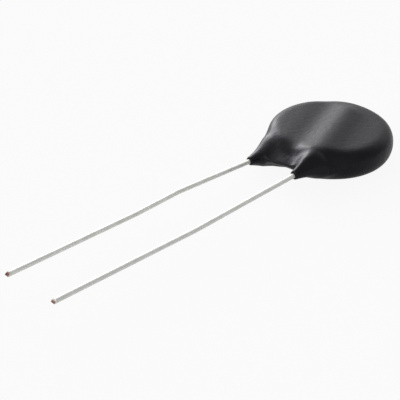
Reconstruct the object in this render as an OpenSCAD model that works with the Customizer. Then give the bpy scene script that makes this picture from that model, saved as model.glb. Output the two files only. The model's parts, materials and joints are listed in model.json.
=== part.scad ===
// Radial disc varistor, lying flat: +Z up, leads along -Y, origin under the middle of its box.
// A pressed zinc oxide disc has a fired silver electrode on each face. One tinned copper lead is
// soldered slantwise across each electrode, so that the pair grips the disc like scissors. A
// dipped epoxy coating closes over all of it and runs a little way down both leads.
// The lower half of the part is its upper half turned over about the Y axis.

/* [Ceramic disc] */
// Diameter of the pressed zinc oxide disc
ceramic_d = 20; // [16:0.5:25]
// Thickness of the disc, which sets its clamping voltage
ceramic_t = 3.2; // [2:0.1:4.5]
// Bevel that the press leaves on both edges
ceramic_bevel = 0.25; // [0.1:0.05:0.4]

/* [Electrodes] */
// Bare ceramic between an electrode and the edge of the disc
electrode_margin = 1; // [0.5:0.1:2]
// Thickness of the fired silver
electrode_t = 0.03; // [0.02:0.01:0.08]

/* [Leads] */
// Diameter of the lead wire
lead_d = 0.8; // [0.6:0.05:1]
// Distance between the leads where they leave the coating
pitch = 10; // [7.5:0.5:12.5]
// Height of each lead off the middle plane where it leaves the coating
exit_offset = 0.75; // [0.3:0.05:1.2]
// How far from the middle of the disc a lead crosses its face
cross_offset = 0.9; // [0:0.1:2]
// Gap in plan between the edge of the ceramic and the head of a lead's ramp
ramp_gap = 0.2; // [0.1:0.05:0.6]
// How far below the edge of the ceramic the ramp has its foot
ramp_foot = 2.3; // [2:0.1:3.4]
// Radius of the bends at both ends of the ramp, on the centre line
ramp_bend_r = 1.4; // [1:0.1:1.6]
// How far beyond the middle of the disc a lead's inner end lies
inner_reach = 7.6; // [6.5:0.1:8]
// Length of the top lead beyond the coating
top_free = 48.3; // [30:0.1:60]
// Length of the bottom lead beyond the coating
bottom_free = 49; // [30:0.1:60]
// Radius of the slack bends left by handling
slack_bend_r = 8; // [4:1:20]
// Length of the longer bevel that the cutter leaves on a tip
cut_len = 0.55; // [0.3:0.05:0.8]

/* [Solder joints] */
// Width of a joint at its foot
solder_w = 2.4; // [1.8:0.1:3]
// Height of a joint at its middle
solder_h = 0.65; // [0.45:0.05:0.8]
// Length of a joint along its lead
solder_len = 12; // [6:0.5:13]
// Film of solder between a lead and its electrode
solder_film = 0.05; // [0.03:0.01:0.1]

/* [Coating] */
// Coating round the edge of the ceramic
coat_rim = 1; // [0.6:0.1:1.6]
// Coating on the faces, away from the leads
coat_face = 1.15; // [1:0.05:1.6]
// Coating over the crest of a lead
coat_over = 1; // [0.8:0.05:1.3]
// Coating round a lead at the end of its leg
coat_leg = 0.3; // [0.2:0.05:0.5]
// Length of the coating's legs below the rim
leg_run = 4.2; // [4:0.1:7]
// Width of the web between the legs below the rim
web_run = 1.9; // [1.2:0.1:2.5]
// Depth of the rounding round the rim
rim_round = 2.7; // [2:0.1:3.2]
// Half width of the soft ridge over a lead
ridge_w = 3.2; // [1.8:0.1:3.5]
// How much lower than the disc the web starts, on each side
web_drop = 0.3; // [0.2:0.1:1]

/* [Hidden] */
$fn = 48;

// The stack, from the middle plane up
face_z = ceramic_t / 2;
electrode_z = face_z + electrode_t;
run_z = electrode_z + solder_film + lead_d / 2;
coat_z = face_z + coat_face;
crest_z = run_z + lead_d / 2 + coat_over;

// The coating's outline
coat_r = ceramic_d / 2 + coat_rim;
leg_r = lead_d / 2 + coat_leg;
leg_end = -(coat_r + leg_run);
web_end = -(coat_r + web_run);

// A lead's points on its side of the disc: foot and head of the ramp, and the inner end
half_pitch = pitch / 2;
foot_y = -(ceramic_d / 2 + ramp_foot);
slope = (half_pitch - cross_offset) / -foot_y;
slant = atan(slope);
function slant_x(y) = cross_offset - y * slope;

// The slanted line leaves the circle that the ramps' heads lie on at the lower root of the
// square equation that the circle gives
head_r = ceramic_d / 2 + ramp_gap;
head_y = (cross_offset * slope - sqrt(head_r * head_r * (1 + slope * slope)
    - cross_offset * cross_offset)) / (1 + slope * slope);
foot = [half_pitch, foot_y, exit_offset];
head = [slant_x(head_y), head_y, run_z];
inner_end = [slant_x(inner_reach), inner_reach, run_z];

// Slack bends: how far down the free lead each lies, and how far the lead has drifted there,
// away from the middle plane on its own side
top_slack = [[0.6, 0], [21.7, -0.5]];
top_drift = 0.1;
bottom_slack = [[0.6, 0], [16, -0.9], [25, -0.65]];
bottom_drift = -1.1;

// The whole part is placed with its lowest ridge on the floor and its box about the origin
middle_z = crest_z;
disc_y = (max(top_free, bottom_free) - leg_end - coat_r) / 2;
module placed() translate([0, disc_y, middle_z]) children();
module turned_over() rotate([0, 180, 0]) children();

// Coating form
// Each part of the form gives the square of its half height, which is negative outside it.
// The parts are the disc, the skirt that joins it to the legs, and the two legs. A smooth
// maximum joins them, so they meet in the soft fillets of a dipped coat.
blend = 1.2;

// The disc's rim is nearly a quarter ellipse, which this power makes a little fuller
rim_power = 2.5;

// The skirt slopes down to its lower edge over its own run, with a soft bend at the start and a
// rounded lip at the end, outside which it falls off fast. It arches over from side to side.
// It and the legs fade out above the rim over the fade's run.
skirt_edge = 2.5;
skirt_bend = 0.4;
skirt_lip = 0.35;
skirt_fall = 5;
skirt_in = 3.5;
skirt_side = 4.5;
fade_start = 2.5;
fade_run = 4;

// A leg grows in half width and half height with the distance from its end, by so much for each
// millimetre and each square millimetre, up to the length over which it grows and the height
// that it stays under the disc's face. Its end is rounded over the length of its cap.
leg_grow = 8;
leg_flare = [0.17, 0.035];
leg_rise = [0.15, 0.02];
leg_under = 0.4;
leg_soft = 0.3;
leg_cap = 0.35;
bend_soft = 0.8;

// The middle surface starts its shift towards the exits this far above the rim, over this run
shift_start = 2;
shift_run = 4;

// The ridge's crest runs level over the disc, and from the head of the ramp straight down to the
// leg's end. In plan it turns off its leg at the kink and leans towards the middle. The ridge is
// as wide as a share of its leg until it has its full width. A shallow dent follows its inner
// side, with its depth as a share of the ridge's height and its place and width as shares of the
// ridge's width. The ridge fades from this far before the lead's inner end, and it sinks into
// the edges of the form.
crest_slope = (crest_z - exit_offset - leg_r) / (head_y - leg_end);
crest_bend = 0.6;
crest_kink = 0.5 - coat_r;
crest_lean = 0.38;
dent_share = 0.28;
dent_place = 1.7;
dent_width = 0.7;
ridge_share = 0.8;
ridge_past = 2;
ridge_fade = 2.5;
ridge_sink = 0.5;

function smooth(t) = let (c = min(1, max(0, t))) c * c * (3 - 2 * c);
function over(t) = max(0, t);
function soft_over(t, soft) = soft * ln(1 + exp(t / soft));

// Middle of the lead under the coating, its kink rounded
function lead_x(y) = half_pitch - slope * soft_over(y - foot_y, bend_soft);

// Middle of the ridge in plan
function crest_x(y) = half_pitch - crest_lean * soft_over(y - crest_kink, bend_soft);

function disc_part(x, y) =
    let (depth = min(rim_round, (coat_r * coat_r - x * x - y * y) / (2 * coat_r)))
    coat_z * coat_z * (1 - pow(1 - depth / rim_round, rim_power));

// Distance up a leg from its end, and the leg's half width there
function leg_run_at(y) = min(leg_grow, over(y - leg_end));
function leg_half_w(t) = leg_r + leg_flare[0] * t + leg_flare[1] * t * t;
function leg_half_h(t) =
    let (most = coat_z - leg_under)
    most - soft_over(most - leg_r - leg_rise[0] * t - leg_rise[1] * t * t, leg_soft);
function fade_up(y) = over(y + coat_r - fade_start) / fade_run;

function leg_part(x, y) =
    let (t = leg_run_at(y))
    let (across = (x - lead_x(y)) / leg_half_w(t))
    let (tip = over(leg_cap - t) / leg_cap)
    pow(leg_half_h(t), 2) * (1 - pow(across, 2) - pow(tip, 2) - pow(fade_up(y), 2));

function skirt_part(x, y) =
    let (down = soft_over(web_end + skirt_edge - y, skirt_bend) / skirt_edge)
    let (across = over(abs(x) - half_pitch + skirt_in) / skirt_side)
    let (inside = 1 - down - pow(across, 2) - pow(fade_up(y), 2))
    let (rounding = skirt_lip + abs(inside) + skirt_fall * over(-inside))
    pow(coat_z - web_drop, 2) * inside * rounding / (1 + skirt_lip);

function square_height(x, y) =
    let (parts = [disc_part(x, y), skirt_part(x, y), leg_part(x, y), leg_part(-x, y)])
    let (most = max(parts))
    most + blend * ln(exp((parts[0] - most) / blend) + exp((parts[1] - most) / blend)
        + exp((parts[2] - most) / blend) + exp((parts[3] - most) / blend));

// Middle surface of the coating, which follows the leads to their exits
function middle(x, y) =
    let (side = 2 * smooth((1 + x / half_pitch) / 2) - 1)
    exit_offset * side * smooth((shift_start - coat_r - y) / shift_run);

function ridge(x, y) =
    let (on_leg = max(y, leg_end + leg_cap))
    let (under = middle(crest_x(y), y) + sqrt(over(square_height(crest_x(on_leg), on_leg))))
    let (crest = crest_z - crest_slope * soft_over(head_y - y, crest_bend))
    let (half_w = min(ridge_w, ridge_share * leg_half_w(leg_run_at(y))))
    let (off = (x - crest_x(y)) / norm([1, crest_lean]) / half_w)
    let (bell = exp(-pow(off, 2)) - dent_share * exp(-pow((off + dent_place) / dent_width, 2)))
    let (past_end = over(y - inner_reach + ridge_past) / ridge_fade)
    (crest - under) * bell * exp(-pow(past_end, 2));

function sunk(square) = square / (square + ridge_sink * ridge_sink);

function upper(x, y) =
    let (square = over(square_height(x, y)))
    middle(x, y) + sqrt(square) + ridge(x, y) * sunk(square) / sunk(coat_z * coat_z);
function lower(x, y) = -upper(-x, y);

// Spine and outline
// The spine runs round the flat of the disc and down the middle of each leg. From each of its
// points a ray goes out to the coating's edge. One half is listed, from the far end of the disc
// down the left leg to the middle of the web. Where leg and web meet, the spine also holds a fan
// of points that widens from the leg up to the line across the web.
core_r = sqrt(coat_r * coat_r - 2 * coat_r * rim_round);
web_depth = 1.8;
fillet_in = 1.8;
fillet_below = 0.9;
arc_end = 230;
core_y = web_end + web_depth;
fillet = [fillet_in - half_pitch, web_end - fillet_below];
leg_base = [-half_pitch, core_y];
leg_low = [-half_pitch, fillet[1]];
leg_tip = [-half_pitch, leg_end + leg_r];
web_corner = [fillet[0], core_y];
arc_steps = 20;
leg_steps = 6;
tip_steps = 8;
web_steps = 5;
fan_steps = 8;

function polar(r, a) = [r * cos(a), r * sin(a)];
function between(a, b, f) = a + (b - a) * f;
function fan_point(f, across) =
    between(between(leg_low, leg_base, f), between(leg_low, web_corner, f), across);

arc_end_point = polar(core_r, arc_end);
half_spine = concat(
    [for (i = [0:arc_steps]) polar(core_r, between(90, arc_end, i / arc_steps))],
    [for (i = [1:leg_steps]) between(arc_end_point, leg_base, i / leg_steps)],
    [for (i = [1:leg_steps]) between(leg_base, leg_low, i / leg_steps)],
    [for (i = [1:leg_steps]) between(leg_low, leg_tip, i / leg_steps)],
    [for (i = [1:leg_steps]) between(leg_low, web_corner, i / leg_steps)],
    [for (i = [1:leg_steps], c = [1:fan_steps - 1]) fan_point(i / leg_steps, c / fan_steps)],
    [for (i = [1:web_steps]) between(web_corner, [0, core_y], i / web_steps)]);
base_id = arc_steps + leg_steps;
low_id = base_id + leg_steps;
tip_id = low_id + leg_steps;
corner_id = tip_id + leg_steps;
web_id = len(half_spine) - 1;
fan_end_id = web_id - web_steps;
function fan_id(i, c) =
    i == 0 ? low_id
    : c == 0 ? low_id - i
    : c == fan_steps ? tip_id + i
    : corner_id + (i - 1) * (fan_steps - 1) + c;

// Stations go round the outline, each with the number of its spine point and its ray's direction.
// In the corner of leg and web the rays aim at a point outside it, so that none crosses another.
function fillet_ray(p) = atan2(fillet[1] - p[1], fillet[0] - p[0]);
half_stations = concat(
    [for (i = [0:arc_steps]) [i, between(90, arc_end, i / arc_steps)]],
    [for (i = [1:leg_steps]) [arc_steps + i, between(arc_end, 180, smooth(i / leg_steps))]],
    [for (i = [1:2 * leg_steps]) [base_id + i, 180]],
    [for (i = [1:tip_steps]) [tip_id, 180 + 180 * i / tip_steps]],
    [for (i = [1:leg_steps]) [tip_id - i, 360]],
    [for (i = [1:leg_steps]) [tip_id + i, fillet_ray(half_spine[tip_id + i])]],
    [for (i = [1:web_steps]) [fan_end_id + i, 270]]);

// The loop closes the disc's flat off across the roots of the legs and the web
half_loop = concat(
    [for (i = [0:base_id - 1]) i],
    [for (c = [0:fan_steps]) fan_id(leg_steps, c)],
    [for (i = [1:web_steps]) fan_end_id + i]);

// Distance along a ray to where the form's height runs out, found by halving the ray's reach
halvings_made = 26;
ray_reach = 3.6;
function edge_reach(p, ray, near, far, halvings) =
    let (mid = (near + far) / 2)
    let (q = p + mid * ray)
    halvings == 0 ? mid
    : square_height(q[0], q[1]) > 0 ? edge_reach(p, ray, mid, far, halvings - 1)
    : edge_reach(p, ray, near, mid, halvings - 1);
function edge_point(station) =
    let (p = half_spine[station[0]])
    let (ray = polar(1, station[1]))
    p + edge_reach(p, ray, 0, ray_reach, halvings_made) * ray;

function mirrored(p) = [-p[0], p[1]];
function mirrored_id(id) = id == 0 || id == web_id ? id : id + web_id;
function both_halves(list) = concat(list, [for (i = [len(list) - 2:-1:1]) mirrored(list[i])]);
function both_ids(ids) = concat(ids, [for (i = [len(ids) - 2:-1:1]) mirrored_id(ids[i])]);

// The coating's skin
// Rows of points run from the spine to the outline on both faces, close together at the rim.
// Inside the loop, rings shrink to the middle of the disc.
rim_rows = 7;
core_rings = 7;

module coat_form() {
    half_edge = [for (s = half_stations) edge_point(s)];
    edge = both_halves(half_edge);
    spine = concat(half_spine, [for (i = [1:web_id - 1]) mirrored(half_spine[i])]);
    station_ids = both_ids([for (s = half_stations) s[0]]);
    loop = both_ids(half_loop);
    around = len(edge);
    ring_n = len(loop);
    spine_n = len(spine);
    rows = [for (v = [1:rim_rows - 1], k = [0:around - 1])
        between(spine[station_ids[k]], edge[k], sin(90 * v / rim_rows))];
    rings = [for (j = [1:core_rings - 1], id = loop) spine[id] * j / core_rings];
    rows_at = 2 * spine_n + around;
    rings_at = rows_at + 2 * len(rows);
    hubs_at = rings_at + 2 * len(rings);
    points = concat(
        [for (p = spine) [p[0], p[1], upper(p[0], p[1])]],
        [for (p = spine) [p[0], p[1], lower(p[0], p[1])]],
        [for (p = edge) [p[0], p[1], middle(p[0], p[1])]],
        [for (p = rows) [p[0], p[1], upper(p[0], p[1])]],
        [for (p = rows) [p[0], p[1], lower(p[0], p[1])]],
        [for (p = rings) [p[0], p[1], upper(p[0], p[1])]],
        [for (p = rings) [p[0], p[1], lower(p[0], p[1])]],
        [[0, 0, upper(0, 0)], [0, 0, lower(0, 0)]]);
    function row_id(side, v, k) =
        v == 0 ? side * spine_n + station_ids[k]
        : v == rim_rows ? 2 * spine_n + k
        : rows_at + side * len(rows) + (v - 1) * around + k;
    function ring_id(side, j, k) =
        j == 0 ? hubs_at + side
        : j == core_rings ? side * spine_n + loop[k]
        : rings_at + side * len(rings) + (j - 1) * ring_n + k;
    function left_fan_id(side, i, c) = side * spine_n + fan_id(i, c);
    function right_fan_id(side, i, c) = side * spine_n + mirrored_id(fan_id(i, fan_steps - c));
    function facing(side, face) = side == 0 ? face : [face[2], face[1], face[0]];
    function quad(side, a, b, c, d) =
        a == b ? [facing(side, [a, c, d])]
        : c == d ? [facing(side, [a, b, c])]
        : [facing(side, [a, b, c]), facing(side, [a, c, d])];
    row_faces = [for (side = [0, 1], v = [0:rim_rows - 1], k = [0:around - 1])
        let (n = (k + 1) % around)
        each quad(side, row_id(side, v, k), row_id(side, v, n),
            row_id(side, v + 1, n), row_id(side, v + 1, k))];
    ring_faces = [for (side = [0, 1], j = [0:core_rings - 1], k = [0:ring_n - 1])
        let (n = (k + 1) % ring_n)
        each quad(side, ring_id(side, j, k), ring_id(side, j, n),
            ring_id(side, j + 1, n), ring_id(side, j + 1, k))];
    left_fan_faces = [for (side = [0, 1], i = [1:leg_steps], c = [0:fan_steps - 1])
        each quad(side, left_fan_id(side, i, c), left_fan_id(side, i, c + 1),
            left_fan_id(side, i - 1, c + 1), left_fan_id(side, i - 1, c))];
    right_fan_faces = [for (side = [0, 1], i = [1:leg_steps], c = [0:fan_steps - 1])
        each quad(side, right_fan_id(side, i, c), right_fan_id(side, i, c + 1),
            right_fan_id(side, i - 1, c + 1), right_fan_id(side, i - 1, c))];
    faces = concat(row_faces, ring_faces, left_fan_faces, right_fan_faces);
    polyhedron(points, faces, convexity = 6);
}

// Lead wire
// The bent stretch is a tube with a ring of points wherever it bends. The straight stretch down
// to the tip is a true cylinder, which starts just past the last bend and which the tube enters
// by a short way. The tube is a hair thinner, so that its wall ends inside the cylinder's end.
tube_sides = 20;
tube_shy = 0.004;
tube_lap = 0.3;
arc_rings = 5;
stretch_start = 0.8;

function unit(v) = v / norm(v);
function turn_at(p, i) =
    let (a = unit(p[i] - p[i - 1]))
    let (b = unit(p[i + 1] - p[i]))
    atan2(norm(cross(a, b)), a * b);

// Points along the bend at corner i: [place, direction of the wire there]
function bend_points(p, r, i) =
    let (along = unit(p[i] - p[i - 1]))
    let (onward = unit(p[i + 1] - p[i]))
    let (inward = unit(onward - along * (along * onward)))
    let (turn = turn_at(p, i))
    let (start = p[i] - along * r * tan(turn / 2))
    [for (k = [0:arc_rings - 1])
        let (a = turn * k / (arc_rings - 1))
        [start + along * r * sin(a) + inward * r * (1 - cos(a)), along * cos(a) + inward * sin(a)]];

function tube_path(p, radii) =
    let (last = len(p) - 1)
    concat([[p[0], unit(p[1] - p[0])]],
        [for (i = [1:last - 1]) each bend_points(p, radii[i - 1], i)],
        [[p[last], unit(p[last] - p[last - 1])]]);

module tube(p, radii) {
    path = tube_path(p, radii);
    r = lead_d / 2 - tube_shy;
    points = [for (q = path, k = [0:tube_sides - 1])
        let (side = unit(cross([0, 0, 1], q[1])))
        let (a = 360 * (k + 0.5) / tube_sides)
        q[0] + r * (side * cos(a) + cross(q[1], side) * sin(a))];
    walls = [for (j = [0:len(path) - 2], k = [0:tube_sides - 1])
        let (a = j * tube_sides + k)
        let (b = j * tube_sides + (k + 1) % tube_sides)
        each [[a, b + tube_sides, b], [a, a + tube_sides, b + tube_sides]]];
    first_cap = [for (k = [0:tube_sides - 1]) k];
    last_cap = [for (k = [tube_sides - 1:-1:0]) (len(path) - 1) * tube_sides + k];
    polyhedron(points, concat(walls, [first_cap, last_cap]), convexity = 4);
}

// Places what is drawn at the origin at a point, with its X and Y axes along two directions
module set_at(at, x_axis, y_axis) {
    z_axis = cross(x_axis, y_axis);
    multmatrix([for (r = [0:2]) [x_axis[r], y_axis[r], z_axis[r], at[r]]]) children();
}

// The points of one lead, from its inner end down to its tip, on the upper side of the disc
lead_radii = [ramp_bend_r, ramp_bend_r, slack_bend_r, slack_bend_r, slack_bend_r];
function slack_points(slack) =
    [for (s = slack) [half_pitch, leg_end - s[0], exit_offset + s[1]]];
function tip_point(free, drift) = [half_pitch, leg_end - free, exit_offset + drift];

module tip_stretch(from, tip) {
    along = unit(tip - from);
    side = unit(cross([0, 0, 1], along));
    set_at(from, side, cross(along, side)) cylinder(h = norm(tip - from), d = lead_d);
}

// What a side cutter takes off a tip: two bevels that meet in an edge across the wire, which
// lies off its middle by a share of its diameter
edge_share = 1 / 6;
module cutter_bite(from, tip, upward) {
    along = unit(tip - from);
    side = unit(cross(along, [0, 0, upward]));
    edge_y = lead_d * edge_share;
    long_slope = cut_len / (lead_d / 2 + edge_y);
    set_at(tip, side, cross(along, side))
        rotate([90, 0, 90])
        linear_extrude(height = 2 * lead_d, center = true)
        polygon([[edge_y, 0], [-lead_d, -long_slope * (lead_d + edge_y)], [-lead_d, lead_d],
            [lead_d, lead_d], [lead_d, edge_y - lead_d]]);
}

module lead(slack, free, drift, upward) {
    bends = slack_points(slack);
    bend = bends[len(bends) - 1];
    tip = tip_point(free, drift);
    along = unit(tip - bend);
    start = bend + along * stretch_start;
    difference() {
        union() {
            tube(concat([inner_end, head, foot], bends, [start + along * tube_lap]), lead_radii);
            tip_stretch(start, tip);
        }
        cutter_bite(start, tip, upward);
    }
}

module upper_lead() lead(top_slack, top_free, top_drift, 1);
module lower_lead() turned_over() lead(bottom_slack, bottom_free, bottom_drift, -1);

// Inner pieces
module disc_shape() {
    r = ceramic_d / 2;
    b = ceramic_bevel;
    rotate_extrude()
        polygon([[0, -face_z], [r - b, -face_z], [r, b - face_z],
            [r, face_z - b], [r - b, face_z], [0, face_z]]);
}

module electrode_shape()
    translate([0, 0, face_z]) cylinder(h = electrode_t, d = ceramic_d - 2 * electrode_margin);

// A low mound along the lead: the top of a round bar with round ends
module solder_mound() {
    bar_r = (pow(solder_w / 2, 2) + solder_h * solder_h) / (2 * solder_h);
    straight = solder_len - solder_w;
    translate([cross_offset, 0, electrode_z]) rotate([0, 0, slant]) intersection() {
        translate([0, 0, solder_h - bar_r]) union() {
            rotate([90, 0, 0]) cylinder(h = straight, r = bar_r, center = true);
            for (end = [-1, 1]) translate([0, end * straight / 2, 0]) sphere(r = bar_r);
        }
        translate([-solder_w, -solder_len, 0]) cube([2 * solder_w, 2 * solder_len, 2 * solder_h]);
    }
}

module upper_joint() {
    difference() {
        solder_mound();
        tube([inner_end, head, foot, [half_pitch, leg_end, exit_offset]], lead_radii);
    }
}

// Nodes
module coating() color([0.13, 0.13, 0.15]) placed() difference() {
    coat_form();
    disc_shape();
    electrode_shape();
    turned_over() electrode_shape();
    solder_mound();
    turned_over() solder_mound();
    upper_lead();
    lower_lead();
}

module ceramic_disc() color([0.28, 0.27, 0.26]) placed() disc_shape();
module top_electrode() color([0.86, 0.86, 0.83]) placed() electrode_shape();
module bottom_electrode() color([0.86, 0.86, 0.83]) placed() turned_over() electrode_shape();
module top_solder_joint() color([0.68, 0.69, 0.7]) placed() upper_joint();
module bottom_solder_joint() color([0.68, 0.69, 0.7]) placed() turned_over() upper_joint();
module top_lead() color([0.82, 0.82, 0.8]) placed() upper_lead();
module bottom_lead() color([0.82, 0.82, 0.8]) placed() lower_lead();

coating();
ceramic_disc();
top_electrode();
bottom_electrode();
top_solder_joint();
bottom_solder_joint();
top_lead();
bottom_lead();
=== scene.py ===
"""A dipped disc varistor lying flat on a white floor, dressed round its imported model, in metres."""

import json

import bpy
import numpy as np
from mathutils import Matrix, Vector


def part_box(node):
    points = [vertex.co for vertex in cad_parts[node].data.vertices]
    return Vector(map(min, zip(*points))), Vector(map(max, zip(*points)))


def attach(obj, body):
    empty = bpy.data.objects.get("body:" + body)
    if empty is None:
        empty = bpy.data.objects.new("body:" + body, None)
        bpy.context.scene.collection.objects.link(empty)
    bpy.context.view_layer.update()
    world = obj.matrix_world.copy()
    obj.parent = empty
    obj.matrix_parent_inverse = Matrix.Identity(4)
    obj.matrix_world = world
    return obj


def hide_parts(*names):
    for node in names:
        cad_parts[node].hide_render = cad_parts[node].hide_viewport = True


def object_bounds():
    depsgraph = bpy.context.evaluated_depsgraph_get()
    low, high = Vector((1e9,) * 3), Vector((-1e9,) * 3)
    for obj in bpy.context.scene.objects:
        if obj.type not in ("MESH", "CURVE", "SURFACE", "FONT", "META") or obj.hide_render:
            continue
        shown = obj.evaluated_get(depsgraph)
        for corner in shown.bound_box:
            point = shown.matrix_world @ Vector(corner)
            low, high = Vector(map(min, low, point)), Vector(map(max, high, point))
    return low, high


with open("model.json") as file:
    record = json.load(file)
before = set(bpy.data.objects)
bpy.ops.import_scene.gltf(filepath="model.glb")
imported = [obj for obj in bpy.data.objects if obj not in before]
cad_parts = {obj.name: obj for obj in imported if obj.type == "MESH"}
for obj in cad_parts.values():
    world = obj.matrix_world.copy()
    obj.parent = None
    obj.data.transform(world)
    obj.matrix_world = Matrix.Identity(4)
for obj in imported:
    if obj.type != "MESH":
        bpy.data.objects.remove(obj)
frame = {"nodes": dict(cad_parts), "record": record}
cad_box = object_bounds()

# Ceramic disc
# The working piece: zinc oxide powder pressed and sintered into a dark grey disc. It carries the
# other pieces and is sealed inside the coating, so only its material is set here.
ceramic_low, ceramic_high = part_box("ceramic_disc")
disc_x, disc_y, middle_z = (ceramic_low + ceramic_high) / 2
ceramic_r = (ceramic_high.x - ceramic_low.x) / 2
face_z = (ceramic_high.z - ceramic_low.z) / 2
ceramic_dark = (0.035, 0.033, 0.031, 1)
ceramic_light = (0.085, 0.080, 0.074, 1)
ceramic_grain = 0.00012
ceramic_relief = 0.000015
ceramic_rough = (0.62, 0.85)
ceramic_rough_grain = 0.00072
noise_low, noise_high = 0.3, 0.7


def uneven_group():
    """Makes a node group that spreads noise of one grain size evenly between two values.
    The grain is a length, and the noise is read at the object's own coordinates over that length."""
    group = bpy.data.node_groups.new("uneven", "ShaderNodeTree")
    for name, value in (("Grain", 0.001), ("Low", 0.0), ("High", 1.0), ("Detail", 3.0)):
        socket = group.interface.new_socket(name, in_out="INPUT", socket_type="NodeSocketFloat")
        socket.default_value = value
    group.interface.new_socket("Value", in_out="OUTPUT", socket_type="NodeSocketFloat")
    nodes, links = group.nodes, group.links
    inputs = nodes.new("NodeGroupInput")
    outputs = nodes.new("NodeGroupOutput")
    place = nodes.new("ShaderNodeTexCoord")
    scale = nodes.new("ShaderNodeMath")
    scale.operation = "DIVIDE"
    scale.inputs[0].default_value = 1
    noise = nodes.new("ShaderNodeTexNoise")
    spread = nodes.new("ShaderNodeMapRange")
    spread.inputs["From Min"].default_value = noise_low
    spread.inputs["From Max"].default_value = noise_high
    links.new(inputs.outputs["Grain"], scale.inputs[1])
    links.new(place.outputs["Object"], noise.inputs["Vector"])
    links.new(scale.outputs[0], noise.inputs["Scale"])
    links.new(inputs.outputs["Detail"], noise.inputs["Detail"])
    links.new(noise.outputs["Fac"], spread.inputs["Value"])
    links.new(inputs.outputs["Low"], spread.inputs["To Min"])
    links.new(inputs.outputs["High"], spread.inputs["To Max"])
    links.new(spread.outputs["Result"], outputs.inputs["Value"])
    return group


uneven = uneven_group()


def new_material(name):
    """Gives a material with its node tree and its Principled shader."""
    material = bpy.data.materials.new(name)
    material.use_nodes = True
    return material, material.node_tree, material.node_tree.nodes["Principled BSDF"]


def add_uneven(tree, grain, low=0.0, high=1.0, detail=3.0):
    """Places the uneven group in a material with its own values and gives its output socket."""
    node = tree.nodes.new("ShaderNodeGroup")
    node.node_tree = uneven
    for name, value in (("Grain", grain), ("Low", low), ("High", high), ("Detail", detail)):
        node.inputs[name].default_value = value
    return node.outputs["Value"]


def add_mix(tree, mask, first, second):
    """Mixes two colours by a mask and gives the output socket. A colour is a value or a socket.
    The node has its pair of colours at inputs 6 and 7 and the mixed one at output 2."""
    node = tree.nodes.new("ShaderNodeMix")
    node.data_type = "RGBA"
    tree.links.new(mask, node.inputs["Factor"])
    for socket, colour in ((node.inputs[6], first), (node.inputs[7], second)):
        if isinstance(colour, bpy.types.NodeSocket):
            tree.links.new(colour, socket)
        else:
            socket.default_value = colour
    return node.outputs[2]


def add_bump(tree, height, distance, below=None):
    """Turns a height socket of 0 to 1 into a normal, over another bump if one is given."""
    node = tree.nodes.new("ShaderNodeBump")
    node.inputs["Strength"].default_value = 1
    node.inputs["Distance"].default_value = distance
    tree.links.new(height, node.inputs["Height"])
    if below is not None:
        tree.links.new(below, node.inputs["Normal"])
    return node.outputs["Normal"]


def grainy_material(name, dark, light, grain, relief, rough, rough_grain, metallic=0):
    """A material whose colour runs from dark to light over its grain. The light grains stand up by
    the relief, and the roughness runs between two values over a coarser grain."""
    material, tree, shader = new_material(name)
    tone = add_uneven(tree, grain)
    tree.links.new(add_mix(tree, tone, dark, light), shader.inputs["Base Color"])
    tree.links.new(add_uneven(tree, rough_grain, *rough), shader.inputs["Roughness"])
    tree.links.new(add_bump(tree, tone, relief), shader.inputs["Normal"])
    shader.inputs["Metallic"].default_value = metallic
    return material


def dress(node, material):
    """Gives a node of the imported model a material."""
    mesh = frame["nodes"][node].data
    mesh.materials.clear()
    mesh.materials.append(material)


ceramic = grainy_material(
    "sintered_ceramic", ceramic_dark, ceramic_light, ceramic_grain, ceramic_relief,
    ceramic_rough, ceramic_rough_grain,
)
dress("ceramic_disc", ceramic)

# Electrodes
# A silver paste screened on both faces of the ceramic and fired, which leaves a thin, dull white
# and slightly porous film. The margin round it stays bare.
silver_dull = (0.62, 0.60, 0.55, 1)
silver_light = (0.80, 0.79, 0.75, 1)
silver_grain = 0.00008
silver_relief = 0.000008
silver_rough = (0.42, 0.6)
silver_rough_grain = 0.0008

silver = grainy_material(
    "fired_silver", silver_dull, silver_light, silver_grain, silver_relief,
    silver_rough, silver_rough_grain, metallic=1,
)
dress("top_electrode", silver)
dress("bottom_electrode", silver)

# Leads
# Drawn copper wire plated with tin. Each is soldered slantwise across its electrode, ramps down
# beside the disc and runs out straight, with the slack bends that handling leaves. A side cutter
# has cut each tip to two bevels, where the copper shows.
pins = {mount["name"]: mount for mount in frame["record"]["mounts"]}
wire_r = pins["top_lead_pin"]["dims"]["r_mm"] / 1000
half_pitch = pins["top_lead_pin"]["pos_m"][0]
electrode_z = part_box("top_electrode")[1].z - middle_z
solder_film = 0.00005
run_z = electrode_z + solder_film + wire_r
coating_low, coating_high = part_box("coating")
coat_r = (coating_high.x - coating_low.x) / 2
leg_run = 0.0042
leg_end = -(coat_r + leg_run)
exit_offset = 0.00075
cross_offset = 0.0009
inner_reach = 0.0076
ramp_gap = 0.0002
ramp_foot = 0.0023
ramp_bend_r = 0.0014
foot_y = -(ceramic_r + ramp_foot)
slope = (half_pitch - cross_offset) / -foot_y
# The head of the ramp is where the slanting lead crosses a circle a little outside the ceramic
head_r = ceramic_r + ramp_gap
head_y = cross_offset * slope - np.sqrt(head_r**2 * (1 + slope**2) - cross_offset**2)
head_y /= 1 + slope**2
# Slack bends and tips: how far below the leg each lies and how far the lead has drifted there
slack_bend_r = 0.008
top_slack = ((0.0006, 0), (0.0217, -0.0005), (0.0483, 0.0001))
bottom_slack = ((0.0006, 0), (0.016, -0.0009), (0.025, -0.00065), (0.049, -0.0011))
# Cut tips: length of both bevels, height and half thickness of the edge between them, and how far
# back from the tip the copper shows on the top lead, 1, and on the bottom lead, -1
cut_long = 0.00055
cut_short = 0.00027
cut_edge = -wire_r / 3
cut_burr = 0.00002
bare_run = {1: 0.0003, -1: 0.0005}
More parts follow.
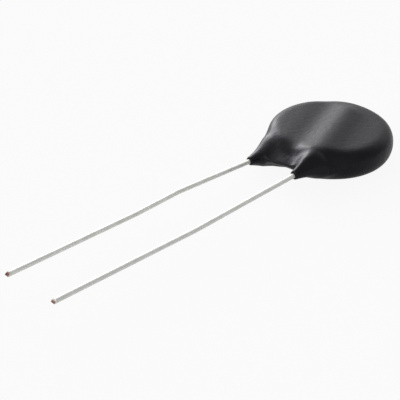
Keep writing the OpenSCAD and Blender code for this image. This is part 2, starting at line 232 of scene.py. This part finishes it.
# The skin's mesh: sides of the wire, distance of its rings on the straight, rings in a bend, and
# the rings near the tip with the run that they share
wire_sides = 40
ring_gap = 0.001
bend_rings = 9
tip_rings = 24
tip_run = 1.1 * cut_long


def lead_corners(side, slack):
    """Corners of a lead from its inner end to its tip: the run over the electrode, the head and
    foot of the ramp, then each slack bend and the tip at its distance below the leg and its drift
    away from the middle plane. Side is 1 for the top lead and -1 for the bottom one, which is
    turned over."""
    corners = [(cross_offset - y * slope, y, run_z) for y in (inner_reach, head_y)]
    corners.append((half_pitch, foot_y, exit_offset))
    corners.extend((half_pitch, leg_end - down, exit_offset + drift) for down, drift in slack)
    return np.array(corners) * (side, 1, side) + (disc_x, disc_y, middle_z)


def unit(v):
    """A vector, or each row of an array of vectors, over its length."""
    return v / np.linalg.norm(v, axis=-1, keepdims=True)


def stretch(start, end, gap):
    """Points on a straight line after its start and before its end, about a gap apart."""
    steps = max(1, int(np.linalg.norm(end - start) / gap))
    return start + (end - start) * np.arange(1, steps)[:, None] / steps


def wire_line(corners, radii):
    """Points along the middle of a bent wire. Each inner corner is rounded by an arc of its own
    radius that touches both stretches, and the points lie close together near the cut tip."""
    line = corners[:1]
    for before, corner, after, r in zip(corners, corners[1:], corners[2:], radii):
        along, onward = unit(corner - before), unit(after - corner)
        inward = unit(onward - along * (along @ onward))
        turn = np.arccos(along @ onward)
        start = corner - along * r * np.tan(turn / 2)
        a = np.linspace(0, turn, bend_rings)[:, None]
        arc = start + along * r * np.sin(a) + inward * r * (1 - np.cos(a))
        line = np.concatenate([line, stretch(line[-1], start, ring_gap), arc])
    tip = corners[-1]
    cut_start = tip - unit(tip - line[-1]) * tip_run
    cut = cut_start + (tip - cut_start) * np.linspace(0, 1, tip_rings)[:, None]
    return np.concatenate([line, stretch(line[-1], cut_start, ring_gap), cut])


def wire_rings(line, bare):
    """Rings of points round a line, and for each point how bare its copper is. A ring is a circle
    across the line, and near the tip its height is held between the planes of the two bevels,
    which meet in a thin edge. The cut has wiped the tin over them but for a bare run."""
    along = unit(np.gradient(line, axis=0))
    side = unit(np.cross((0, 0, 1), along))
    up = np.cross(along, side)
    a = np.linspace(0, 2 * np.pi, wire_sides, endpoint=False)
    from_tip = ((line[-1] - line) @ along[-1])[:, None]
    high = cut_edge + cut_burr + from_tip * (wire_r - cut_edge) / cut_long
    low = cut_edge - cut_burr - from_tip * (wire_r + cut_edge) / cut_short
    round_height = wire_r * np.sin(a)
    height = np.clip(round_height, low, high)
    across = wire_r * np.cos(a)[:, None]
    rings = line[:, None] + across * side[:, None] + height[..., None] * up[:, None]
    return rings, (height != round_height) * np.exp(-((from_tip / bare) ** 4))


def make_object(name, points, faces):
    """A smooth mesh object at the origin, from an array of points and lists of faces."""
    mesh = bpy.data.meshes.new(name)
    mesh.from_pydata(points.reshape(-1, 3).tolist(), [], faces)
    mesh.polygons.foreach_set("use_smooth", np.ones(len(mesh.polygons), bool))
    piece = bpy.data.objects.new(name, mesh)
    bpy.context.scene.collection.objects.link(piece)
    return piece


def make_lead(name, side, slack, material):
    """A lead's skin: quads between neighbouring rings, with a cap on the inner end and the edge."""
    radii = [ramp_bend_r] * 2 + [slack_bend_r] * (len(slack) - 1)
    rings, bare = wire_rings(wire_line(lead_corners(side, slack), radii), bare_run[side])
    ids = np.arange(bare.size).reshape(bare.shape)
    onward = np.roll(ids, -1, axis=1)
    quads = np.stack([ids[:-1], onward[:-1], onward[1:], ids[1:]], axis=-1).reshape(-1, 4)
    caps = [ids[0, ::-1].tolist(), ids[-1].tolist()]
    piece = make_object(name + "_wire", rings, quads.tolist() + caps)
    bare_copper = piece.data.attributes.new("bare_copper", "FLOAT", "POINT")
    bare_copper.data.foreach_set("value", bare.ravel())
    piece.data.materials.append(material)
    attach(piece, "root")
    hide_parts(name)


tin_dull = (0.84, 0.84, 0.81, 1)
tin_light = (0.94, 0.94, 0.92, 1)
tin_blotch = 0.0015
tin_rough = (0.5, 0.65)
tin_rough_grain = 0.0005
copper_dark = (0.08, 0.03, 0.02, 1)
copper_light = (0.42, 0.20, 0.13, 1)
copper_grain = 0.0004
draw_mark_width = 0.00006
draw_mark_stretch = 0.03
draw_mark_relief = 0.000001

tinned_wire, tree, shader = new_material("tinned_copper_wire")
place = tree.nodes.new("ShaderNodeTexCoord")
drawn = tree.nodes.new("ShaderNodeMapping")
drawn.inputs["Scale"].default_value = (1, draw_mark_stretch, 1)
marks = tree.nodes.new("ShaderNodeTexNoise")
marks.inputs["Scale"].default_value = 1 / draw_mark_width
tree.links.new(place.outputs["Object"], drawn.inputs["Vector"])
tree.links.new(drawn.outputs["Vector"], marks.inputs["Vector"])
bare_mask = tree.nodes.new("ShaderNodeAttribute")
bare_mask.attribute_name = "bare_copper"
tin = add_mix(tree, add_uneven(tree, tin_blotch), tin_dull, tin_light)
copper = add_mix(tree, add_uneven(tree, copper_grain), copper_dark, copper_light)
tree.links.new(add_mix(tree, bare_mask.outputs["Fac"], tin, copper), shader.inputs["Base Color"])
tree.links.new(add_uneven(tree, tin_rough_grain, *tin_rough), shader.inputs["Roughness"])
tree.links.new(add_bump(tree, marks.outputs["Fac"], draw_mark_relief), shader.inputs["Normal"])
shader.inputs["Metallic"].default_value = 1
make_lead("top_lead", 1, top_slack, tinned_wire)
make_lead("bottom_lead", -1, bottom_slack, tinned_wire)

# Solder joints
# Each lead lies in a low mound of soft solder that runs along it and wets the silver. The coating
# hides both.
solder_dull = (0.42, 0.43, 0.44, 1)
solder_light = (0.62, 0.63, 0.64, 1)
solder_grain = 0.0004
solder_relief = 0.00002
solder_rough = (0.25, 0.45)
solder_rough_grain = 0.0008

solder = grainy_material(
    "soft_solder", solder_dull, solder_light, solder_grain, solder_relief,
    solder_rough, solder_rough_grain, metallic=1,
)
dress("top_solder_joint", solder)
dress("bottom_solder_joint", solder)

# Coating
# The soldered disc is dipped in liquid epoxy with its leads held up, then cured. The skin is thick
# on the faces, swells over each lead in a soft slanting ridge, hangs in a web between the leads
# and ends in a short leg round each. It turns half round about the Y axis into itself.
coat_face = 0.00115
coat_over = 0.00092
coat_leg = 0.0003
coat_z = face_z + coat_face
crest_z = run_z + wire_r + coat_over
leg_r = wire_r + coat_leg
# Rim of the disc: depth of its rounding, and the power of its curve, which is 2 for an ellipse
rim_round = 0.0026
rim_power = 2.8
# Fillets where the parts of the form meet, as the square of a height
blend = 0.0012 * 0.001
# Web between the legs: its lip, its drop below the disc, the slope down to the lip with the bend
# above it, the round of the lip and the fall beyond it, and where it fades towards its sides
web_run = 0.0019
web_end = -(coat_r + web_run)
web_drop = 0.0005
web_edge = 0.0029
web_bend = 0.0004
web_lip = 0.35
web_fall = 5
web_in = 0.0035
web_side = 0.005
# Legs: how far up they grow, how they widen and rise with the distance from their end and its
# square, the round of their end, how far they stay below the disc, and how softly
leg_grow = 0.008
leg_flare = (0.17, 50)
leg_rise = (0.15, 20)
leg_cap = 0.00035
leg_under = 0.0004
leg_soft = 0.0003
# Where legs and web fade into the disc, and where the middle surface shifts from the disc's
# middle plane to the leads: how far inside the disc's edge each starts, and its run
fade_start = 0.0025
fade_run = 0.004
shift_start = 0.002
shift_run = 0.004
# Ridge over a lead: half width on the disc and as a share of the leg's, its fade past the lead's
# inner end, and how fast it sinks at the form's edge
ridge_w = 0.0025
ridge_share = 0.88
ridge_past = 0.002
ridge_fade = 0.0025
ridge_sink = 0.0005
# Line of the ridge's crest. It comes down from a place beyond the ramp's head, straight to the
# leg's end. Inside the disc's edge it turns off and leans, in a bend as soft as the lead's
crest_past = 0.0018
crest_head = head_y - crest_past
crest_bend = 0.0009
crest_slope = (crest_z - exit_offset - leg_r) / (crest_head - leg_end)
crest_in = 0.002
crest_kink = -(coat_r - crest_in)
crest_lean = 0.39
bend_soft = 0.0008
# Dent along the ridge: depth as a share of the ridge's height, place and width in half widths
dent_share = 0.33
dent_place = 1.9
dent_width = 0.8


def smooth(t):
    """Rises from 0 to 1 along an S curve, 3 t squared less 2 t cubed, and is flat outside it."""
    t = np.clip(t, 0, 1)
    return t * t * (3 - 2 * t)


def over(t):
    """What is above zero."""
    return np.maximum(0, t)


def soft_over(t, soft):
    """What is above zero, with the corner rounded over a soft length: soft ln(1 + exp(t / soft))."""
    return soft * np.logaddexp(0, t / soft)


def lead_x(y):
    """Middle of the lead under the coating: straight below the ramp's foot, slanting above it."""
    return half_pitch - slope * soft_over(y - foot_y, bend_soft)


def crest_x(y):
    """Middle of the ridge, which turns off towards the middle a little above the lead's foot."""
    return half_pitch - crest_lean * soft_over(y - crest_kink, bend_soft)


def disc_part(x, y):
    """Square of the disc's half height: full over the flat, and over the rim less by a power of the
    share of the rim that is passed, which is nearly an ellipse."""
    depth = np.minimum(rim_round, (coat_r**2 - x * x - y * y) / (2 * coat_r))
    return coat_z**2 * (1 - (1 - depth / rim_round) ** rim_power)


def above_leg_end(y):
    """Distance from a leg's end, up to where the leg stops growing."""
    return np.minimum(leg_grow, over(y - leg_end))


def leg_half_width(y):
    """A leg's half width, which grows with the distance from its end and that distance squared."""
    t = above_leg_end(y)
    return leg_r + leg_flare[0] * t + leg_flare[1] * t * t


def fade_up(y):
    """How far a place is up the run over which the legs and the web fade into the disc."""
    return over(y + coat_r - fade_start) / fade_run


def leg_part(x, y):
    """Square of a leg's half height, which rises from the end: an ellipse across, a round end and a
    fade into the disc, each taken off as a square."""
    t = above_leg_end(y)
    most = coat_z - leg_under
    half_height = most - soft_over(most - leg_r - leg_rise[0] * t - leg_rise[1] * t * t, leg_soft)
    across = (x - lead_x(y)) / leg_half_width(y)
    tip = over(leg_cap - t) / leg_cap
    return half_height**2 * (1 - across**2 - tip**2 - fade_up(y) ** 2)


def web_part(x, y):
    """Square of the web's half height. The inside is 1 less the slope down to the lip, and less the
    squares of the way out to the sides and of the fade into the disc. Times itself and the lip's
    round, it ends in a rounded lip."""
    down = soft_over(web_end + web_edge - y, web_bend) / web_edge
    across = over(np.abs(x) - half_pitch + web_in) / web_side
    inside = 1 - down - across**2 - fade_up(y) ** 2
    rounding = web_lip + np.abs(inside) + web_fall * over(-inside)
    return (coat_z - web_drop) ** 2 * inside * rounding / (1 + web_lip)


def square_height(x, y):
    """Smooth maximum of the parts, blend ln(sum of exp(part / blend)), so they meet in fillets."""
    parts = np.array([disc_part(x, y), web_part(x, y), leg_part(x, y), leg_part(-x, y)])
    return blend * np.logaddexp.reduce(parts / blend, axis=0)


def middle(x, y):
    """Middle surface, which leaves the disc's middle plane below the rim to follow the leads."""
    side = 2 * smooth((1 + x / half_pitch) / 2) - 1
    return exit_offset * side * smooth((shift_start - coat_r - y) / shift_run)


def ridge(x, y):
    """Ridge over a lead: a bell curve across it that lifts the surface to the crest's line, with a
    shallow dent along its inner side. The line runs level over the disc and straight down the
    leg, and fades past the lead's end."""
    on_leg = np.maximum(y, leg_end + leg_cap)
    under = middle(crest_x(y), y) + np.sqrt(over(square_height(crest_x(on_leg), on_leg)))
    crest = crest_z - crest_slope * soft_over(crest_head - y, crest_bend)
    half_width = np.minimum(ridge_w, ridge_share * leg_half_width(y))
    off = (x - crest_x(y)) / np.hypot(1, crest_lean) / half_width
    bell = np.exp(-(off**2)) - dent_share * np.exp(-(((off + dent_place) / dent_width) ** 2))
    past = over(y - inner_reach + ridge_past) / ridge_fade
    return (crest - under) * bell * np.exp(-(past**2))


def sunk(square):
    """Share of the ridge that shows at a place, from nothing at the form's edge to nearly all."""
    return square / (square + ridge_sink**2)


def upper(x, y):
    """Height of the upper face. The lower face is the upper one turned half round about Y."""
    square = over(square_height(x, y))
    return middle(x, y) + np.sqrt(square) + ridge(x, y) * sunk(square) / sunk(coat_z**2)


# The skin's mesh. Its spine runs round the flat of the disc and then inside the web's lip, and
# rays reach out from it past the form's edge. In the corner of leg and web they aim at one point.
core_r = np.sqrt(coat_r**2 - 2 * coat_r * rim_round)
spine_in = 0.0018
spine_y = web_end + spine_in
fillet_in = 0.0018
fillet_down = 0.0009
fillet_x = fillet_in - half_pitch
fillet_y = web_end - fillet_down
ray_reach = 0.0036
halvings = 40
arc_end = 230
arc_steps = 150
leg_steps = 24
tip_steps = 30
web_steps = 22
root_columns = 16
rim_rows = 30
core_rings = 36


def polar(r, a):
    """Points at a radius in directions given in degrees."""
    return r * np.stack([np.cos(np.radians(a)), np.sin(np.radians(a))], axis=-1)


def half_outline():
    """Left half of the coating's plan: spine points, the stations as a spine point's number and a
    ray's direction, the loop round the disc and the net of points on the leg's root. The spine
    runs round the flat of the disc and down the leg. In the corner of leg and web the rays aim
    at a point outside it, so that none crosses another."""
    base, low = np.array((-half_pitch, spine_y)), np.array((-half_pitch, fillet_y))
    tip, corner = np.array((-half_pitch, leg_end + leg_r)), np.array((fillet_x, spine_y))
    arc = np.linspace(90, arc_end, arc_steps + 1)
    steps = np.arange(1, leg_steps + 1)
    share = (steps / leg_steps)[:, None]
    spine = [polar(core_r, arc)]
    for start, end in ((spine[0][-1], base), (base, low), (low, tip), (low, corner)):
        spine.append(start + share * (end - start))
    outer, inner = low + share * (base - low), low + share * (corner - low)
    across = np.arange(1, root_columns)[:, None] / root_columns
    spine.extend(a + across * (b - a) for a, b in zip(outer, inner))
    to_middle = np.arange(1, web_steps + 1)[:, None] / web_steps
    spine.append(corner + to_middle * ((0, spine_y) - corner))
    base_id, low_id, tip_id = arc_steps + leg_steps * np.arange(1, 4)
    root_ids = tip_id + leg_steps + 1 + np.arange(leg_steps * (root_columns - 1))
    root_ids = root_ids.reshape(leg_steps, -1)
    web_ids = root_ids[-1, -1] + np.arange(1, web_steps + 1)
    root = np.column_stack([low_id - steps, root_ids, tip_id + steps])
    root = np.concatenate([root[::-1], np.full((1, root_columns + 1), low_id)])
    fillet_rays = np.degrees(np.arctan2(*((fillet_x, fillet_y) - inner).T[::-1]))
    stations = [
        (np.arange(arc_steps + 1), arc),
        (arc_steps + steps, arc_end + (180 - arc_end) * smooth(share[:, 0])),
        (base_id + np.arange(1, 2 * leg_steps + 1), np.full(2 * leg_steps, 180)),
        (np.full(tip_steps, tip_id), 180 + 180 * np.arange(1, tip_steps + 1) / tip_steps),
        (tip_id - steps, np.full(leg_steps, 360)),
        (tip_id + steps, fillet_rays),
        (web_ids, np.full(web_steps, 270)),
    ]
    ids, rays = (np.concatenate(column) for column in zip(*stations))
    loop = np.concatenate([np.arange(base_id), root[0], web_ids])
    return np.concatenate(spine), ids, rays, loop, root


def edge_points(starts, rays):
    """Where each ray from its start leaves the form, found by halving the stretch of the ray."""
    near = np.zeros(len(starts))
    far = np.full(len(starts), ray_reach)
    for _ in range(halvings):
        mid = (near + far) / 2
        inside = square_height(*(starts + mid[:, None] * rays).T) > 0
        near, far = np.where(inside, mid, near), np.where(inside, far, mid)
    return starts + near[:, None] * rays


def mirrored(ids, last):
    """Numbers of spine points on the right half. The first and the last lie on the middle line."""
    return np.where((ids == 0) | (ids == last), ids, ids + last)


def net_triangles(net):
    """Corners of two triangles for each cell of a net of point numbers."""
    a, b, c, d = net[:-1, :-1], net[:-1, 1:], net[1:, 1:], net[1:, :-1]
    return (a, b, c), (a, c, d)


def coating_skin():
    """Points and triangles of the coating. On each face, rows run from the spine to the edge, closer
    together as they near it, and rings run from the loop to the middle of the disc. Both faces
    share the edge's points, and a triangle that would have one corner twice is left out."""
    spine, ids, rays, loop, root = half_outline()
    last = len(spine) - 1
    flip = np.array([-1, 1])
    edge = edge_points(spine[ids], polar(1, rays))
    edge = np.concatenate([edge, (edge * flip)[-2:0:-1]])
    stations = np.concatenate([ids, mirrored(ids, last)[-2:0:-1]])
    loop = np.concatenate([loop, mirrored(loop, last)[-2:0:-1]])
    right_root = mirrored(root, last)[:, ::-1]
    spine = np.concatenate([spine, (spine * flip)[1:last]])
    share = np.sin(np.pi / 2 * np.arange(1, rim_rows) / rim_rows)[:, None, None]
    rows = spine[stations] + share * (edge - spine[stations])
    rings = spine[loop] * (np.arange(1, core_rings) / core_rings)[:, None, None]
    plan = np.concatenate([spine, rows.reshape(-1, 2), rings.reshape(-1, 2), [(0, 0)]])
    row_ids = len(spine) + np.arange(rows[..., 0].size).reshape(rows.shape[:2])
    ring_ids = row_ids[-1, -1] + 1 + np.arange(rings[..., 0].size).reshape(rings.shape[:2])
    rim = np.concatenate([stations[None], row_ids])
    core = np.concatenate([np.full((1, len(loop)), len(plan) - 1), ring_ids, loop[None]])
    points, faces = [], []
    for side in (1, -1):
        start = 0 if side == 1 else len(plan)
        points.append(np.column_stack([plan, side * upper(side * plan[:, 0], plan[:, 1])]))
        to_edge = np.concatenate([start + rim, 2 * len(plan) + np.arange(len(edge))[None]])
        closed = [np.column_stack([net, net[:, 0]]) for net in (to_edge, start + core)]
        for net in (*closed, start + root, start + right_root):
            for corners in net_triangles(net):
                triangles = np.stack(corners[::-side], axis=-1).reshape(-1, 3)
                faces.append(triangles[(triangles != np.roll(triangles, 1, axis=1)).all(axis=1)])
    points.append(np.column_stack([edge, middle(*edge.T)]))
    return np.concatenate(points) + (disc_x, disc_y, middle_z), np.concatenate(faces)


epoxy_dark = (0.0022, 0.0021, 0.0022, 1)
epoxy_light = (0.0045, 0.0044, 0.0046, 1)
epoxy_blotch = 0.0027
epoxy_shine = 0.3
# Painted reflection colour: the bluish tint on the epoxy's reflections stands in for bluish light
# round the part
epoxy_painted_reflection_tint = (0.84, 0.82, 1, 1)
epoxy_rough = (0.24, 0.34)
epoxy_rough_grain = 0.00135
peel_size = 0.0009
peel_height = 0.000016
fine_size = 0.0003
fine_height = 0.000005

epoxy, tree, shader = new_material("dipped_epoxy")
tone = add_uneven(tree, epoxy_blotch)
tree.links.new(add_mix(tree, tone, epoxy_dark, epoxy_light), shader.inputs["Base Color"])
tree.links.new(add_uneven(tree, epoxy_rough_grain, *epoxy_rough), shader.inputs["Roughness"])
shader.inputs["Specular IOR Level"].default_value = epoxy_shine
# Painted reflection colour: a bluish tint on every reflection the coating shows
shader.inputs["Specular Tint"].default_value = epoxy_painted_reflection_tint
peel = add_bump(tree, add_uneven(tree, peel_size, detail=1), peel_height)
fine = add_bump(tree, add_uneven(tree, fine_size), fine_height, peel)
tree.links.new(fine, shader.inputs["Normal"])
coating_points, coating_faces = coating_skin()
coating = make_object("coating_skin", coating_points, coating_faces.tolist())
coating.data.materials.append(epoxy)
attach(coating, "root")
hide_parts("coating")

# Floor and light
# A plain white floor in a room that is dim on the camera's side and bright behind the part, low
# down and a little to the left, where a large soft box stands too. The camera sees the floor and
# the room as plain white, and a part of that white shows in what mirrors them.
look_at = np.array([disc_x - 0.000976, disc_y - 0.030393, middle_z])
floor_half = 1.5
floor_drop = 0.00001
floor_white = (0.7, 0.7, 0.7, 1)
floor_rough = 0.9
white_share = 0.92
mirrored_share = 0.3
# Soft patches of light in the room: towards which side each lies, how narrow and how bright it is
near_room = ((0.5, -0.86, 0.0), 1.2, 0.5)
back_wall = ((-0.95, 0.22, 0.18), 9, 3.2)
back_window = ((-0.83, 0.42, 0.3), 50, 2.4)
back_low = ((-0.76, 0.63, 0.17), 16, 0.45)
back_high = ((-0.55, 0.45, 0.70), 16, 1.6)
right_wall = ((0.0, 0.9, 0.45), 10, 0.6)
left_panel = ((-0.39, -0.84, 0.38), 11, 1.6)
room_light = (near_room, back_wall, back_window, back_low, back_high, right_wall, left_panel)
box_from = unit(np.array([-0.9, 0.25, 0.35]))
box_distance = 0.7
box_side = 0.4
box_radiance = 1.5


def add_math(tree, operation, *numbers):
    """Works out a sum, a product or the like of one or two numbers and gives the output socket.
    A number is a value or a socket."""
    node = tree.nodes.new("ShaderNodeMath")
    node.operation = operation
    for socket, number in zip(node.inputs, numbers):
        if isinstance(number, bpy.types.NodeSocket):
            tree.links.new(number, socket)
        else:
            socket.default_value = number
    return node.outputs["Value"]


def add_seen(tree):
    """Gives the share of the plain white backdrop that a ray sees: all of it for the camera and
    through glass, a part of it in reflections, and none for the light that falls on the part."""
    rays = tree.nodes.new("ShaderNodeLightPath").outputs
    direct = add_math(tree, "MAXIMUM", rays["Is Camera Ray"], rays["Is Transmission Ray"])
    in_mirrors = add_math(tree, "MULTIPLY", rays["Is Glossy Ray"], mirrored_share)
    return add_math(tree, "MAXIMUM", direct, in_mirrors)


def add_patch(tree, ray, axis, narrowness, peak):
    """Radiance of a soft patch of light along a ray: peak times exp(narrowness times the cosine
    between the ray and the patch's axis, less 1)."""
    towards = tree.nodes.new("ShaderNodeVectorMath")
    towards.operation = "DOT_PRODUCT"
    towards.inputs[1].default_value = unit(np.array(axis))
    tree.links.new(ray, towards.inputs[0])
    fall = add_math(tree, "SUBTRACT", towards.outputs["Value"], 1)
    share = add_math(tree, "EXPONENT", add_math(tree, "MULTIPLY", fall, narrowness))
    return add_math(tree, "MULTIPLY", share, peak)


def matrix_looking(place, target):
    """Places a lamp or camera so that its -Z axis looks from a place at a target, with +Y up."""
    away = Vector(place - target)
    return Matrix.Translation(place) @ away.to_track_quat("Z", "Y").to_matrix().to_4x4()


paper, tree, shader = new_material("white_paper")
shader.inputs["Base Color"].default_value = floor_white
shader.inputs["Roughness"].default_value = floor_rough
shader.inputs["Specular IOR Level"].default_value = 0
plain_white = tree.nodes.new("ShaderNodeEmission")
seen_mix = tree.nodes.new("ShaderNodeMixShader")
tree.links.new(add_math(tree, "MULTIPLY", add_seen(tree), white_share), seen_mix.inputs["Fac"])
tree.links.new(shader.outputs["BSDF"], seen_mix.inputs[1])
tree.links.new(plain_white.outputs["Emission"], seen_mix.inputs[2])
tree.links.new(seen_mix.outputs["Shader"], tree.nodes["Material Output"].inputs["Surface"])
floor_corners = np.array([(-1, -1, 0), (1, -1, 0), (1, 1, 0), (-1, 1, 0)]) * floor_half
floor_corners += (0, 0, cad_box[0][2] - floor_drop)
floor = make_object("floor", floor_corners, [(0, 1, 2, 3)])
floor.data.materials.append(paper)

world = bpy.data.worlds.new("studio")
world.use_nodes = True
bpy.context.scene.world = world
tree = world.node_tree
ray = tree.nodes.new("ShaderNodeTexCoord").outputs["Generated"]
radiance = 0
for patch in room_light:
    radiance = add_math(tree, "ADD", add_patch(tree, ray, *patch), radiance)
level = tree.nodes.new("ShaderNodeMix")
tree.links.new(add_seen(tree), level.inputs["Factor"])
tree.links.new(radiance, level.inputs["A"])
level.inputs["B"].default_value = 1
background = tree.nodes["Background"]
background.inputs["Color"].default_value = (1, 1, 1, 1)
tree.links.new(level.outputs["Result"], background.inputs["Strength"])

soft_box = bpy.data.lights.new("soft_box", "AREA")
soft_box.shape = "SQUARE"
soft_box.size = box_side
soft_box.energy = box_radiance * np.pi * box_side**2
lamp = bpy.data.objects.new("soft_box", soft_box)
lamp.matrix_world = matrix_looking(look_at + box_from * box_distance, look_at)
bpy.context.scene.collection.objects.link(lamp)

# Camera
# It stands where the photograph was taken from: a long lens at the near side, looking down on the
# disc with the leads running towards the lower left.
view_azimuth = np.radians(46.557)
view_elevation = np.radians(32.361)
view_distance = 0.158331
lens_mm = 90
sensor_mm = 36
near_clip = 0.01

camera_data = bpy.data.cameras.new("camera")
camera_data.lens = lens_mm
camera_data.sensor_width = sensor_mm
camera_data.clip_start = near_clip
camera = bpy.data.objects.new("camera", camera_data)
level_way = np.array([np.sin(view_azimuth), -np.cos(view_azimuth)]) * np.cos(view_elevation)
camera_from = np.array([*level_way, np.sin(view_elevation)])
camera.matrix_world = matrix_looking(look_at + camera_from * view_distance, look_at)
bpy.context.scene.collection.objects.link(camera)
bpy.context.scene.camera = camera
bpy.context.scene.view_settings.view_transform = "Standard"
